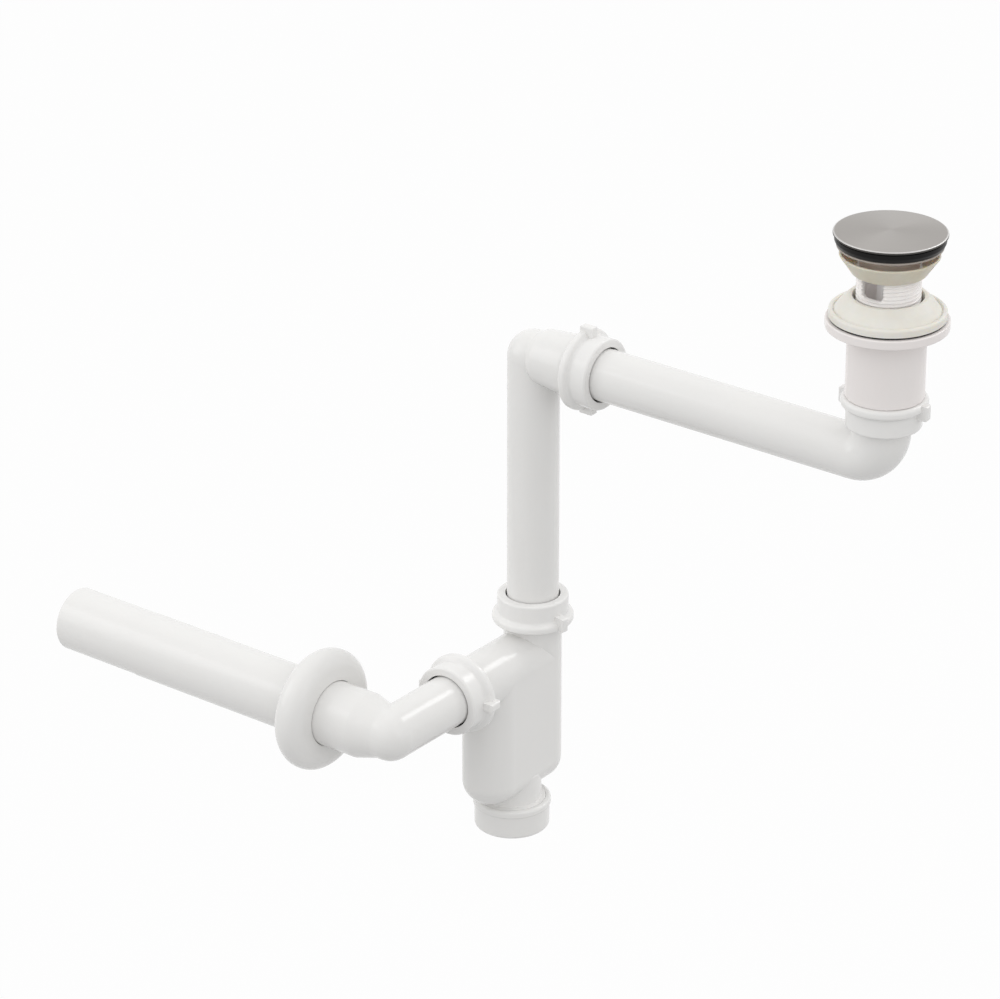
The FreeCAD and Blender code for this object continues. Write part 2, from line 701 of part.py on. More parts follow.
def trap_body():
    """Flat water trap: inlet leg, partition, outlet leg, two sockets and the clean-out."""
    inner_r = body_r - body_wall
    inlet = FreeCAD.Vector(0, 0, inlet_mouth)
    outlet = FreeCAD.Vector(0, -outlet_mouth, 0)
    axis_y = -body_length / 2
    neck_end = cleanout_shoulder + cleanout_neck
    neck = turned([
        (0, -neck_end), (cleanout_r, -neck_end, 0.5), (cleanout_r, -cleanout_shoulder, 0.2),
        (cleanout_neck_r, -cleanout_shoulder + cleanout_collar, 0.5),
        (cleanout_neck_r, -cleanout_neck_top, 1.0),
        (body_r - 3 * body_wall, -cleanout_neck_top + 2 * body_wall),
        (0, -cleanout_neck_top + 2 * body_wall),
    ])
    outside = fused([
        slab(body_r, -body_bottom, 0, body_bottom_ease),
        Part.makeSphere(body_r, FreeCAD.Vector(0, 0, 0)),
        place(socket_outside(body_r, -inlet_mouth), inlet, UP),
        place(socket_outside(body_r, -outlet_mouth), outlet, TO_OUTLET),
        place(neck, FreeCAD.Vector(0, axis_y, 0)),
    ])
    floor = body_bottom - body_wall
    drain_top = cleanout_neck_top + body_wall
    drain = turned([
        (0, -neck_end - OVERCUT), (cleanout_bore_r, -neck_end - OVERCUT),
        (cleanout_bore_r, -cleanout_shoulder - 2 * body_wall),
        (inner_r, -cleanout_shoulder), (inner_r, -drain_top), (0, -drain_top),
    ])
    chambers = fused([
        slab(inner_r, -floor, 0, body_bottom_ease - body_wall),
        place(socket_inside(-inlet_mouth), inlet, UP),
        place(socket_inside(-outlet_mouth), outlet, TO_OUTLET),
        Part.makeSphere(inner_r, FreeCAD.Vector(0, 0, 0)),
    ])
    partition_y = -(pipe_r + partition_clear + partition_thickness)
    partition_bottom = -inner_r - water_seal
    partition = Part.makeBox(2 * body_r, partition_thickness, body_bottom,
                             FreeCAD.Vector(-body_r, partition_y, partition_bottom))
    void = chambers.cut(partition).fuse(place(drain, FreeCAD.Vector(0, axis_y, 0)))
    return place(outside.cut(void), body_corner)


def cleanout_cap():
    """Screw cap with a mouth ring, fine grip ribs and a flat floor."""
    top = -cleanout_shoulder - cleanout_gap
    bottom = top - cleanout_cap_height
    inner = cleanout_r + cleanout_clear
    shell = turned([
        (0, bottom), (cleanout_cap_r, bottom, 2.2),
        (cleanout_cap_r, top - cleanout_ring_width, 0.3),
        (cleanout_ring_r, top - cleanout_ring_width, 0.8),
        (cleanout_ring_r, top, 1.8), (inner, top), (inner, bottom + cleanout_floor),
        (0, bottom + cleanout_floor),
    ])
    return place(shell, cleanout_axis)


def cleanout_washer():
    """Flat rubber washer between the clean-out's neck and the cap's floor."""
    top = -cleanout_shoulder - cleanout_neck - 0.05
    bottom = top - cleanout_washer_thickness
    washer = turned([(cleanout_washer_bore_r, bottom), (cleanout_r - 0.3, bottom, 0.3),
                     (cleanout_r - 0.3, top, 0.3), (cleanout_washer_bore_r, top)])
    return place(washer, cleanout_axis)


def all_nodes():
    """Every piece of the trap by node name."""
    nodes = {
        "stopper_cap": stopper_cap(),
        "stopper_carrier": stopper_carrier(),
        "stopper_seal": stopper_seal(),
        "click_plunger": click_plunger(),
        "click_rotor": click_rotor(),
        "click_spring": click_spring(),
        "click_housing": click_housing(),
        "waste_flange": waste_flange(),
        "threaded_neck": threaded_neck(),
        "upper_gasket": upper_gasket(),
        "lower_gasket": lower_gasket(),
        "flange_tail": flange_tail(),
        "arm_pipe": arm_pipe(),
        "riser_pipe": riser_pipe(),
        "trap_body": trap_body(),
        "cleanout_cap": cleanout_cap(),
        "cleanout_washer": cleanout_washer(),
        "outlet_pipe": outlet_pipe(),
        "wall_rosette": wall_rosette(),
    }
    nodes.update(joint_pieces("tail", FreeCAD.Vector(0, 0, -tail_mouth), DOWN, -6))
    nodes.update(joint_pieces("arm", riser_corner + ALONG_X * riser_socket_mouth, ALONG_X, 0))
    nodes.update(joint_pieces("inlet", body_corner + UP * inlet_mouth, UP, -8))
    nodes.update(joint_pieces("outlet", body_corner + TO_OUTLET * outlet_mouth, TO_OUTLET, 0))
    return nodes


os.makedirs("parts", exist_ok=True)
for node, shape in all_nodes().items():
    solids = shape.Solids
    if len(solids) != 1 or not solids[0].isValid():
        raise RuntimeError(node + " isn't one valid solid")
    solids[0].exportStep(os.path.join("parts", node + ".step"))
    box = solids[0].BoundBox
    print("%-18s %9.1f mm3  x %7.1f %7.1f  y %7.1f %7.1f  z %7.1f %7.1f" % (
        node, solids[0].Volume, box.XMin, box.XMax, box.YMin, box.YMax, box.ZMin, box.ZMax))
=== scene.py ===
"""Finishes, threads and studio of the space saving basin trap."""

import math
from collections import namedtuple

import bmesh
import bpy
from mathutils import Matrix, Vector


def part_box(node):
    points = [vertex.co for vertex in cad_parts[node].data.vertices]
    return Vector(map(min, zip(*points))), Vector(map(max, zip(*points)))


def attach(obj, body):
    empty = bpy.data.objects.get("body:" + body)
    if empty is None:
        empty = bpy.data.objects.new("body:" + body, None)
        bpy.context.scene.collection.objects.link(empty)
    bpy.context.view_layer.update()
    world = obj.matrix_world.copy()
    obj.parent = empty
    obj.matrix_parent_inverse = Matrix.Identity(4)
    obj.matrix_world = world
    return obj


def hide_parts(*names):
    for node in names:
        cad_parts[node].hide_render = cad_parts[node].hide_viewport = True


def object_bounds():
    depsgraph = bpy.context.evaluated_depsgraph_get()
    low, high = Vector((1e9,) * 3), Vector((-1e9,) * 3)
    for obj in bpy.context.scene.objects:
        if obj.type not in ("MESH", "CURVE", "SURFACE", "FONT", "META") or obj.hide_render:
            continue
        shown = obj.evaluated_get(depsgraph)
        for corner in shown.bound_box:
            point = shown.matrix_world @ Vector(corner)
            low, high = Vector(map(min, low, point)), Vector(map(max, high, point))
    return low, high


bl_info = {
    "name": "Space Saving Basin Trap",
    "version": (1, 0, 0),
    "blender": (4, 5, 0),
    "location": "3D View > Sidebar > Basin Trap",
    "description": "Finishes, threaded neck and studio of a space saving basin trap",
    "category": "Object",
}

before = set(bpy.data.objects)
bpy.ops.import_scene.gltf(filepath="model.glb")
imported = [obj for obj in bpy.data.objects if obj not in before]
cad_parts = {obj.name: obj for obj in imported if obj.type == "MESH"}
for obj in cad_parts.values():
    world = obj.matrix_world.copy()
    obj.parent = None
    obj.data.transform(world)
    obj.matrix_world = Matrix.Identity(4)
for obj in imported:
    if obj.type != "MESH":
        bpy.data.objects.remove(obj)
cad_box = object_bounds()

MM = 0.001
JOINTS = ("tail", "arm", "inlet", "outlet")
UP = Vector((0, 0, 1))
DOWN = Vector((0, 0, -1))
TO_WASTE = Vector((1, 0, 0))
TO_OUTLET = Vector((0, -1, 0))
BASIN_SEAT = Vector((0, 0, 0))           # on the axis of the waste
PAINTED_THROUGH_GLOW = (0.036, 0.034, 0.033)     # painted glow: faint emission in place of the daylight that the white neck would let through
UNLIT = (0.0, 0.0, 0.0)
PLAIN_WHITE = (1.0, 1.0, 1.0)
CRISP_ANGLE = 32                         # degrees past which an edge stays sharp
THREAD_CRISP_ANGLE = 40
WELD = 1e-7                              # metres, points that lie closer are one

Thread = namedtuple("Thread", "mouth direction crest length pitch")


def screen_colour(red, green, blue):
    """A colour written as it looks on a screen, 0 to 255, as the shader's linear values."""
    def linear(level):
        level /= 255
        return level / 12.92 if level <= 0.04045 else ((level + 0.055) / 1.055) ** 2.4
    return tuple(linear(level) for level in (red, green, blue))


def dimmed(colour, share):
    """The colour with each of its levels cut to a share."""
    return tuple(level * share for level in colour)


def middle(node):
    """The centre of a CAD node's box."""
    low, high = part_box(node)
    return (low + high) / 2


def smooth(piece, angle):
    """Shades the piece smoothly, and keeps its edges sharp past the angle in degrees."""
    piece.data.shade_smooth()
    modifier = piece.modifiers.new("Crisp edges", "EDGE_SPLIT")
    modifier.split_angle = math.radians(angle)


class Wire:
    """A shader socket that adds its own Math nodes when it is used in an expression."""

    def __init__(self, shader, socket):
        self.shader = shader
        self.socket = socket

    def math(self, operation, *others):
        """A Math node with this value first."""
        return self.shader.math(operation, self, *others)

    def __add__(self, other):
        return self.math("ADD", other)

    def __radd__(self, other):
        return self.shader.math("ADD", other, self)

    def __sub__(self, other):
        return self.math("SUBTRACT", other)

    def __rsub__(self, other):
        return self.shader.math("SUBTRACT", other, self)

    def __mul__(self, other):
        return self.math("MULTIPLY", other)

    def __rmul__(self, other):
        return self.shader.math("MULTIPLY", other, self)

    def __truediv__(self, other):
        return self.math("DIVIDE", other)

    def __rtruediv__(self, other):
        return self.shader.math("DIVIDE", other, self)

    def __gt__(self, other):
        return self.math("GREATER_THAN", other)

    def __lt__(self, other):
        return self.math("LESS_THAN", other)

    def __abs__(self):
        return self.math("ABSOLUTE")


class Shader:
    """The node tree of a material or of the room, built node by node."""

    def __init__(self, owner):
        owner.use_nodes = True
        self.tree = owner.node_tree
        self.tree.nodes.clear()

    def put(self, socket, value):
        """Links or sets one input socket."""
        if isinstance(value, Wire):
            self.tree.links.new(value.socket, socket)
        elif socket.type == "RGBA":
            socket.default_value = (*value, 1)
        else:
            socket.default_value = value

    def add(self, kind, settings=None, inputs=None, output=0):
        """Adds a node with its settings first, then its inputs, and returns one output."""
        node = self.tree.nodes.new(kind)
        for key, value in (settings or {}).items():
            if key == "stops":
                for element, (position, level) in zip(node.color_ramp.elements, value):
                    element.position = position
                    element.color = (level, level, level, 1)
            else:
                setattr(node, key, value)
        for key, value in (inputs or {}).items():
            self.put(node.inputs[key], value)
        return Wire(self, node.outputs[output]) if node.outputs else None

    def math(self, operation, *values):
        return self.add("ShaderNodeMath", {"operation": operation}, dict(enumerate(values)))


class Finish(Shader):
    """One procedural material of the trap's pieces."""

    def __init__(self, name, colour, roughness, metallic=0.0):
        self.material = bpy.data.materials.new(name)
        self.material.diffuse_color = (*colour, 1)
        super().__init__(self.material)
        surface = self.add("ShaderNodeBsdfPrincipled", None,
                           {"Base Color": colour, "Roughness": roughness, "Metallic": metallic})
        self.add("ShaderNodeOutputMaterial", None, {"Surface": surface})
        self.surface = surface.socket.node
        self.place = self.add("ShaderNodeTexCoord", output="Object")
        self.tone = colour
        self.relief = None

    def set(self, name, value):
        self.put(self.surface.inputs[name], value)

    def noise(self, scale, detail=2.0, roughness=0.5, place=None):
        """Noise over the piece, or over a place of its own."""
        return self.add("ShaderNodeTexNoise", None,
                        {"Vector": self.place if place is None else place, "Scale": scale,
                         "Detail": detail, "Roughness": roughness})

    def ramp(self, value, black, white):
        """0 up to the value called black, 1 from the value called white."""
        return self.add("ShaderNodeValToRGB", {"stops": ((black, 0), (white, 1))}, {"Fac": value})

    def stretched(self, x, y, z):
        """The place on the piece with each axis stretched."""
        return self.add("ShaderNodeVectorMath", {"operation": "MULTIPLY"},
                        {0: self.place, 1: (x, y, z)})

    def blend(self, amount, first, second):
        return self.add("ShaderNodeMix", {"data_type": "RGBA"},
                        {"Factor": amount, 6: first, 7: second}, output=2)

    def along(self, origin, direction):
        """Distance of the point from origin along direction, in metres."""
        local = self.add("ShaderNodeVectorMath", {"operation": "SUBTRACT"},
                         {0: self.place, 1: origin})
        return self.add("ShaderNodeVectorMath", {"operation": "DOT_PRODUCT"},
                        {0: local, 1: direction}, output="Value")

    def paint(self, tone):
        """Gives the base colour, and keeps it for what is painted over it."""
        self.tone = tone
        self.set("Base Color", tone)

    def paint_over(self, mask, colour):
        """Paints one colour over the tone where the mask is."""
        self.paint(self.blend(mask, self.tone, colour))

    def emboss(self, height, strength, distance):
        """Adds relief of the given depth in metres on top of what there is."""
        inputs = {"Height": height, "Strength": strength, "Distance": distance}
        if self.relief is not None:
            inputs["Normal"] = self.relief
        self.relief = self.add("ShaderNodeBump", None, inputs)
        self.set("Normal", self.relief)

    def glow_inside(self, weight, colour_shares, depth):
        """Lets light into the material, red, green and blue each by its share of the depth."""
        self.set("Subsurface Weight", weight)
        self.set("Subsurface Radius", colour_shares)
        self.set("Subsurface Scale", depth)

    def assign(self, *pieces, crisp_angle=CRISP_ANGLE):
        """Gives the material to CAD nodes or pieces, and smooths them."""
        for piece in pieces:
            if isinstance(piece, str):
                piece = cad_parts[piece]
            piece.data.materials.clear()
            piece.data.materials.append(self.material)
            smooth(piece, crisp_angle)


def reach(across, upward):
    """Distance from the axis that both coordinates start on."""
    return (across * across + upward * upward).math("SQRT")


def thread_relief(finish, thread):
    """Presses a screw thread into one socket's outside."""
    crest_cut = 0.75                     # share of its height at which the crest is flat
    crest_rounding = 0.1
    below_crest = 0.3 * MM
    above_crest = 0.12 * MM
    plain_lip = 0.6 * MM
    depth = 0.9 * MM
    side = thread.direction.orthogonal().normalized()
    along = finish.along(thread.mouth, thread.direction)
    across = finish.along(thread.mouth, side)
    upward = finish.along(thread.mouth, thread.direction.cross(side))
    turn = upward.math("ARCTAN2", across) / (2 * math.pi)
    groove = abs((along / thread.pitch - turn).math("FRACT") - 0.5) * 2
    groove = groove.math("SMOOTH_MIN", crest_cut, crest_rounding)
    radius = reach(across, upward)
    on_socket = (radius > thread.crest - below_crest) * (radius < thread.crest + above_crest)
    on_thread = on_socket * (along > -thread.length) * (along < -plain_lip)
    finish.emboss(groove * on_thread, 1.0, depth)


def moulded(name, colour, roughness, warmth, threads=(), glow=0.06, glow_depth=4 * MM):
    """Glossy injection moulded plastic: faint tone drift, flow lines, orange peel and scuffs."""
    speck_strength = 0.12
    flow_dulling = 0.04
    scuff_dulling = 0.03
    finish = Finish(name, colour, roughness)
    drift = finish.ramp(finish.noise(scale=14), black=0.35, white=0.68)
    tint = tuple(level * share for level, share in zip(colour, warmth))
    specks = finish.ramp(finish.noise(scale=2600, detail=1), black=0.70, white=0.76)
    finish.paint(finish.blend(drift, colour, tint))
    finish.paint_over(specks * speck_strength, dimmed(colour, 0.93))
    flow = finish.noise(scale=70, detail=3, place=finish.stretched(1, 1, 0.25))
    scuffs = finish.noise(scale=260, detail=4, roughness=0.65, place=finish.stretched(1, 3, 6))
    rub = finish.ramp(scuffs, black=0.56, white=0.72)
    finish.set("Roughness", roughness + (flow - 0.5) * flow_dulling + rub * scuff_dulling)
    finish.emboss(finish.noise(scale=210, detail=1), strength=0.10, distance=0.25 * MM)
    finish.emboss(finish.noise(scale=1500), strength=0.06, distance=0.05 * MM)
    for thread in threads:
        thread_relief(finish, thread)
    finish.set("Specular IOR Level", 0.38)
    finish.glow_inside(glow, (1.0, 0.95, 0.9), glow_depth)
    return finish


def soft_rubber(name, colour, shade, roughness, glow=0.0, bloom_share=0.5, shine=0.5):
    """Soft moulded gasket rubber: cloudy tone, dull bloom and a fine grain."""
    bloom_dulling = 0.10
    finish = Finish(name, colour, roughness)
    cloud = finish.ramp(finish.noise(scale=48, detail=3), black=0.32, white=0.70)
    bloom = finish.ramp(finish.noise(scale=340, detail=4, roughness=0.6), black=0.45, white=0.75)
    light = tuple(min(1.0, level * 1.06 + 0.004) for level in colour)
    finish.paint(finish.blend(cloud, colour, shade))
    finish.paint_over(bloom * bloom_share, light)
    finish.set("Roughness", roughness + (bloom - 0.4) * bloom_dulling)
    finish.set("Specular IOR Level", shine)
    grain = finish.noise(scale=1900, detail=3, roughness=0.6)
    finish.emboss(grain, strength=0.12, distance=0.06 * MM)
    finish.emboss(finish.noise(scale=160, detail=1), strength=0.08, distance=0.3 * MM)
    if glow:
        finish.glow_inside(glow, (1.0, 0.72, 0.45), 2.5 * MM)
    return finish


def brush_steel(finish, colour, roughness, brush, coarse):
    """Tones, dulls and scores the steel by its fine and its coarse brush marks."""
    finish.paint(finish.blend(brush * 0.6 + coarse * 0.3, dimmed(colour, 0.86), colour))
    finish.set("Roughness", roughness - 0.07 + brush * 0.10 + coarse * 0.05)
    finish.emboss(brush, strength=0.10, distance=0.03 * MM)


def turned_steel(name, colour, roughness):
    """Stainless steel with the fine rings of a turned top, and each point's way from its axis."""
    finish = Finish(name, colour, roughness, metallic=1.0)
    x = finish.along(BASIN_SEAT, TO_WASTE)
    y = finish.along(BASIN_SEAT, -TO_OUTLET)
    radius = reach(x, y)
    turn = y.math("ARCTAN2", x)
    fine_rings = finish.add("ShaderNodeCombineXYZ", None, {0: radius * 5200, 1: turn * 1.6})
    wide_rings = finish.add("ShaderNodeCombineXYZ", None,
                            {0: radius * 900, 1: turn * 0.7, 2: 3.0})
    brush = finish.noise(scale=1, detail=3, roughness=0.7, place=fine_rings)
    coarse = finish.noise(scale=1, place=wide_rings)
    brush_steel(finish, colour, roughness, brush, coarse)
    return finish, radius


def pressed_steel(name, colour, roughness, metallic):
    """Stainless steel with the upright marks of pressing."""
    finish = Finish(name, colour, roughness, metallic)
    brush = finish.noise(scale=420, detail=3, roughness=0.7, place=finish.stretched(1, 1, 14))
    coarse = finish.noise(scale=90, place=finish.stretched(1, 1, 9))
    brush_steel(finish, colour, roughness, brush, coarse)
    return finish


def drawn_wire(name, colour, roughness):
    """Bright spring wire with faint drawing marks."""
    finish = Finish(name, colour, roughness, metallic=1.0)
    marks = finish.noise(scale=1600, place=finish.stretched(4, 4, 1))
    finish.set("Roughness", roughness - 0.04 + marks * 0.12)
    finish.emboss(marks, strength=0.08, distance=0.02 * MM)
    return finish


class TRAP_PG_colours(bpy.types.PropertyGroup):
    """Colours and gloss of the trap's finishes."""

    white: bpy.props.FloatVectorProperty(
        name="White plastic", description="Cool white of the moulded pipes and body",
        default=screen_colour(236, 235, 233), min=0, max=1, size=3, subtype="COLOR")
    nut_white: bpy.props.FloatVectorProperty(
        name="Nut white", description="White of the ring nuts",
        default=screen_colour(238, 237, 235), min=0, max=1, size=3, subtype="COLOR")
    tail_white: bpy.props.FloatVectorProperty(
        name="Tail white", description="Warmer white of the flanged tail",
        default=screen_colour(240, 235, 233), min=0, max=1, size=3, subtype="COLOR")
    # Painted light: a lighter copy of the white plastic, lifted to offset the shade the cup casts
    # on the neck.
    neck_white_lifted_for_shade: bpy.props.FloatVectorProperty(
        name="Neck white", description="White of the threaded neck",
        default=screen_colour(252, 249, 247), min=0, max=1, size=3, subtype="COLOR")
    cream: bpy.props.FloatVectorProperty(
        name="Cream rubber", description="Cup gasket between dish and basin",
        default=screen_colour(219, 214, 199), min=0, max=1, size=3, subtype="COLOR")
    off_white: bpy.props.FloatVectorProperty(
        name="Off-white rubber", description="Domed gasket under the basin",
        default=screen_colour(235, 233, 227), min=0, max=1, size=3, subtype="COLOR")
    black: bpy.props.FloatVectorProperty(
        name="Black rubber", description="Stopper seal and pipe seals",
        default=screen_colour(22, 21, 20), min=0, max=1, size=3, subtype="COLOR")
    steel: bpy.props.FloatVectorProperty(
        name="Steel", description="Turned stainless steel of the stopper's cap",
        default=screen_colour(178, 174, 170), min=0, max=1, size=3, subtype="COLOR")
    gloss: bpy.props.FloatProperty(
        name="Plastic roughness", description="Roughness of the moulded white plastic",
        default=0.13, min=0, max=1, subtype="FACTOR")


class TRAP_PG_neck(bpy.types.PropertyGroup):
    """Sizes of the threaded neck."""

    pitch: bpy.props.FloatProperty(
        name="Thread pitch", description="Rise of the thread in one turn",
        default=2.309 * MM, min=0.5 * MM, max=6 * MM, unit="LENGTH", precision=6)
    depth: bpy.props.FloatProperty(
        name="Thread depth", description="From the thread's crest to its root",
        default=1.15 * MM, min=0.1 * MM, max=2.5 * MM, unit="LENGTH", precision=6)
    wall: bpy.props.FloatProperty(
        name="Wall", description="From the thread's crest to the bore",
        default=2.95 * MM, min=1 * MM, max=6 * MM, unit="LENGTH", precision=6)
    window_width: bpy.props.FloatProperty(
        name="Window width", description="Width of each overflow window",
        default=14.3 * MM, min=4 * MM, max=24 * MM, unit="LENGTH", precision=6)
    window_height: bpy.props.FloatProperty(
        name="Window height", description="Height of each overflow window",
        default=13.5 * MM, min=4 * MM, max=30 * MM, unit="LENGTH", precision=6)
    window_top: bpy.props.FloatProperty(
        name="Window top", description="How far the windows start below the basin seat",
        default=14.0 * MM, min=10 * MM, max=30 * MM, unit="LENGTH", precision=6)
    window_ease: bpy.props.FloatProperty(
        name="Window corner", description="Radius of a window's corners",
        default=3.0 * MM, min=0.2 * MM, max=5 * MM, unit="LENGTH", precision=6)


class TRAP_PG_studio(bpy.types.PropertyGroup):
    """Camera, lamps and floor."""

    lens: bpy.props.FloatProperty(
        name="Focal length", description="Of a 36 mm wide sensor",
        default=168.67, min=10, max=500, unit="CAMERA")
    azimuth: bpy.props.FloatProperty(
        name="Azimuth", description="Direction in which the camera looks, turned from +Y",
        default=math.radians(37.8588), unit="ROTATION")
    elevation: bpy.props.FloatProperty(
        name="Elevation", description="How far the camera looks down",
        default=math.radians(25.1361), unit="ROTATION")
    place: bpy.props.FloatVectorProperty(
        name="Camera position", description="In the part's frame",
        default=(1.31573, -2.04712, 0.98077), size=3, subtype="TRANSLATION", unit="LENGTH")
    floor_drop: bpy.props.FloatProperty(
        name="Floor", description="How far the floor lies below the basin seat",
        default=0.85, min=0.45, max=3, unit="LENGTH")
    key_power: bpy.props.FloatProperty(
        name="Key lamp", description="Power of the large soft lamp above the front",
        default=9.0, min=0, max=500, unit="POWER")
    left_power: bpy.props.FloatProperty(
        name="Left lamp", description="Power of the soft lamp at the left",
        default=9.5, min=0, max=500, unit="POWER")
    side_power: bpy.props.FloatProperty(
        name="Side lamp", description="Power of the soft lamp at the right",
        default=3.2, min=0, max=500, unit="POWER")
    glint_power: bpy.props.FloatProperty(
        name="Glint lamp", description="Power of the small lamp behind that streaks the outlet",
        default=8.0, min=0, max=500, unit="POWER")
    sky: bpy.props.FloatProperty(
        name="Room light", description="Strength of the even light from all around",
        default=0.88, min=0, max=3)


def outside_threads(pitch):
    """The outside thread of each pipe joint's socket and of the clean-out neck."""
    socket_crest = 19.8 * MM
    socket_length = 9.0 * MM
    cleanout_crest = 21.0 * MM
    cleanout_length = 14.0 * MM
    trap_low, trap_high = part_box("trap_body")
    cap = middle("cleanout_cap")
    mouths = {
        "tail": (Vector((0, 0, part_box("flange_tail")[0].z)), DOWN),
        "arm": (Vector((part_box("riser_pipe")[1].x, 0, middle("arm_nut").z)), TO_WASTE),
        "inlet": (Vector((cap.x, 0, trap_high.z)), UP),
        "outlet": (Vector((cap.x, trap_low.y, middle("outlet_nut").z)), TO_OUTLET),
    }
    threads = {joint: Thread(mouth, direction, socket_crest, socket_length, pitch)
               for joint, (mouth, direction) in mouths.items()}
    threads["cleanout"] = Thread(Vector((cap.x, cap.y, trap_low.z)), DOWN, cleanout_crest,
                                 cleanout_length, pitch)
    return threads


class TRAP_OT_white_mouldings(bpy.types.Operator):
    """Moulded white plastic of the pipes, the trap body, the clean-out cap and the rosette"""

    bl_idname = "trap.white_mouldings"
    bl_label = "White Mouldings"

    def execute(self, context):
        colours = context.scene.trap_colours
        white = tuple(colours.white)
        cool = (0.985, 0.985, 0.985)
        warm = (1.0, 0.985, 0.98)
        threads = outside_threads(context.scene.trap_neck.pitch)
        moulded("pipe_white", white, colours.gloss, cool).assign(
            "arm_pipe", "outlet_pipe", "wall_rosette", "cleanout_cap")
        moulded("riser_white", white, colours.gloss, cool, [threads["arm"]]).assign("riser_pipe")
        moulded("trap_white", white, colours.gloss, cool,
                [threads[name] for name in ("inlet", "outlet", "cleanout")]).assign("trap_body")
        moulded("tail_white", tuple(colours.tail_white), colours.gloss + 0.06, warm,
                [threads["tail"]]).assign("flange_tail")
        return {"FINISHED"}


class TRAP_OT_ring_nuts(bpy.types.Operator):
    """The four screwed ring nuts and their slip rings"""

    bl_idname = "trap.ring_nuts"
    bl_label = "Ring Nuts"

    def execute(self, context):
        colours = context.scene.trap_colours
        nut = moulded("nut_white", tuple(colours.nut_white), colours.gloss + 0.03,
                      warmth=(0.985, 0.985, 0.99))
        slip_ring = moulded("slip_ring_white", screen_colour(222, 224, 226), 0.42,
                            warmth=(0.97, 0.98, 1.0))
        for joint in JOINTS:
            nut.assign(joint + "_nut")
            slip_ring.assign(joint + "_slip_ring")
        return {"FINISHED"}


class TRAP_OT_rubbers(bpy.types.Operator):
    """Basin gaskets, stopper seal, pipe seals and the clean-out washer"""

    bl_idname = "trap.rubbers"
    bl_label = "Gaskets and Seals"

    def execute(self, context):
        colours = context.scene.trap_colours
        cup = soft_rubber("cup_rubber", tuple(colours.cream), shade=screen_colour(208, 202, 184),
                          roughness=0.46, glow=0.7)
        cup.assign("upper_gasket")
        dome = soft_rubber("dome_rubber", tuple(colours.off_white),
                           shade=screen_colour(229, 226, 216), roughness=0.50, glow=0.25,
                           bloom_share=0.2)
        # Painted shade: the gasket's foot is painted near black where the gap above the tail's
        # flange lies in shade.
        painted_shade_foot = 0.85 * MM
        height = dome.along(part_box("lower_gasket")[0], UP)
        dome.paint_over(height < painted_shade_foot, screen_colour(22, 21, 20))
        dome.assign("lower_gasket")
        black = soft_rubber("seal_rubber", tuple(colours.black), shade=screen_colour(19, 18, 18),
                            roughness=0.36, shine=0.15)
        black.assign("stopper_seal", "cleanout_washer", *(joint + "_seal" for joint in JOINTS))
        return {"FINISHED"}


class TRAP_OT_steel(bpy.types.Operator):
    """Turned steel stopper cap and pressed steel dish"""

    bl_idname = "trap.steel"
    bl_label = "Steel Cap and Dish"

    def execute(self, context):
        painted_dark_side_top = 0.92 * MM
        highlight_lip_width = 0.9 * MM
        painted_rim_depth = 0.6 * MM
        cap, radius = turned_steel("cap_steel", tuple(context.scene.trap_colours.steel), 0.34)
        low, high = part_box("stopper_cap")
        height = cap.along(low, UP)
        # Painted highlight: a light band on the cap's rounded top edge, where a lamp would glint.
        painted_highlight_lip = (height > painted_dark_side_top) * (radius > high.x - highlight_lip_width)
        cap.paint_over(painted_highlight_lip, screen_colour(206, 204, 202))
        # Painted shade: the cap's upright side is painted dark, as a dark reflection would show
        # there.
        cap.paint_over(height < painted_dark_side_top, screen_colour(84, 82, 80))
        cap.set("Anisotropic", 0.7)
        cap.assign("stopper_cap")
        # Painted light: the dish's tube, deep in the cup's shade, gets a light colour to lift
        # that shade, and its lit rim is painted darker.
        dish = pressed_steel("dish_steel", screen_colour(232, 222, 215), 0.46, metallic=0.38)
        painted_dark_rim = dish.along(BASIN_SEAT, UP) > -painted_rim_depth
        dish.paint_over(painted_dark_rim, screen_colour(166, 158, 150))
        dish.assign("waste_flange")
        return {"FINISHED"}


class TRAP_OT_cartridge(bpy.types.Operator):
    """Push-open cartridge: housing, plunger, rotor, spring and the stopper's carrier"""

    bl_idname = "trap.cartridge"
    bl_label = "Push-open Cartridge"

    def execute(self, context):
        housing = moulded("housing_plastic", screen_colour(250, 249, 248), 0.40,
                          warmth=(0.97, 0.97, 0.98), glow=0.3, glow_depth=3 * MM)
        # Painted glow: the housing emits faint light of its own, in place of daylight through the
        # neck's wall.
        housing.set("Emission Color", PAINTED_THROUGH_GLOW)
        housing.set("Emission Strength", 1.0)
        housing.assign("click_housing")
        moulded("carrier_plastic", screen_colour(64, 63, 62), 0.44,
                warmth=(0.96, 0.97, 1.0)).assign("stopper_carrier")
        moulded("plunger_plastic", screen_colour(226, 224, 219), 0.36,
                warmth=(0.98, 0.98, 1.0)).assign("click_plunger", "click_rotor")
        drawn_wire("spring_wire", screen_colour(190, 188, 185), 0.24).assign("click_spring")
        return {"FINISHED"}


def ring_row(mesh, points):
    return [mesh.verts.new(point) for point in points]


def on_ring(radius, angle, height):
    """A point of a level circle about the Z axis."""
    return (radius * math.cos(angle), radius * math.sin(angle), height)


def even_angles(steps):
    """The angles that part a full turn into equal steps."""
    return [2 * math.pi * step / steps for step in range(steps)]


def finished_piece(name, mesh):
    """An object of the scene from a worked mesh."""
    bmesh.ops.recalc_face_normals(mesh, faces=mesh.faces)
    data = bpy.data.meshes.new(name)
    mesh.to_mesh(data)
    mesh.free()
    piece = bpy.data.objects.new(name, data)
    bpy.context.scene.collection.objects.link(piece)
    return piece


def thread_profile(depth):
    """One pitch of the thread as (share of the pitch, depth below the crest)."""
    return ((0.00, 0.0), (0.14, 0.0), (0.30, 0.55 * depth), (0.42, depth), (0.56, depth),
            (0.70, 0.55 * depth), (0.86, 0.0))


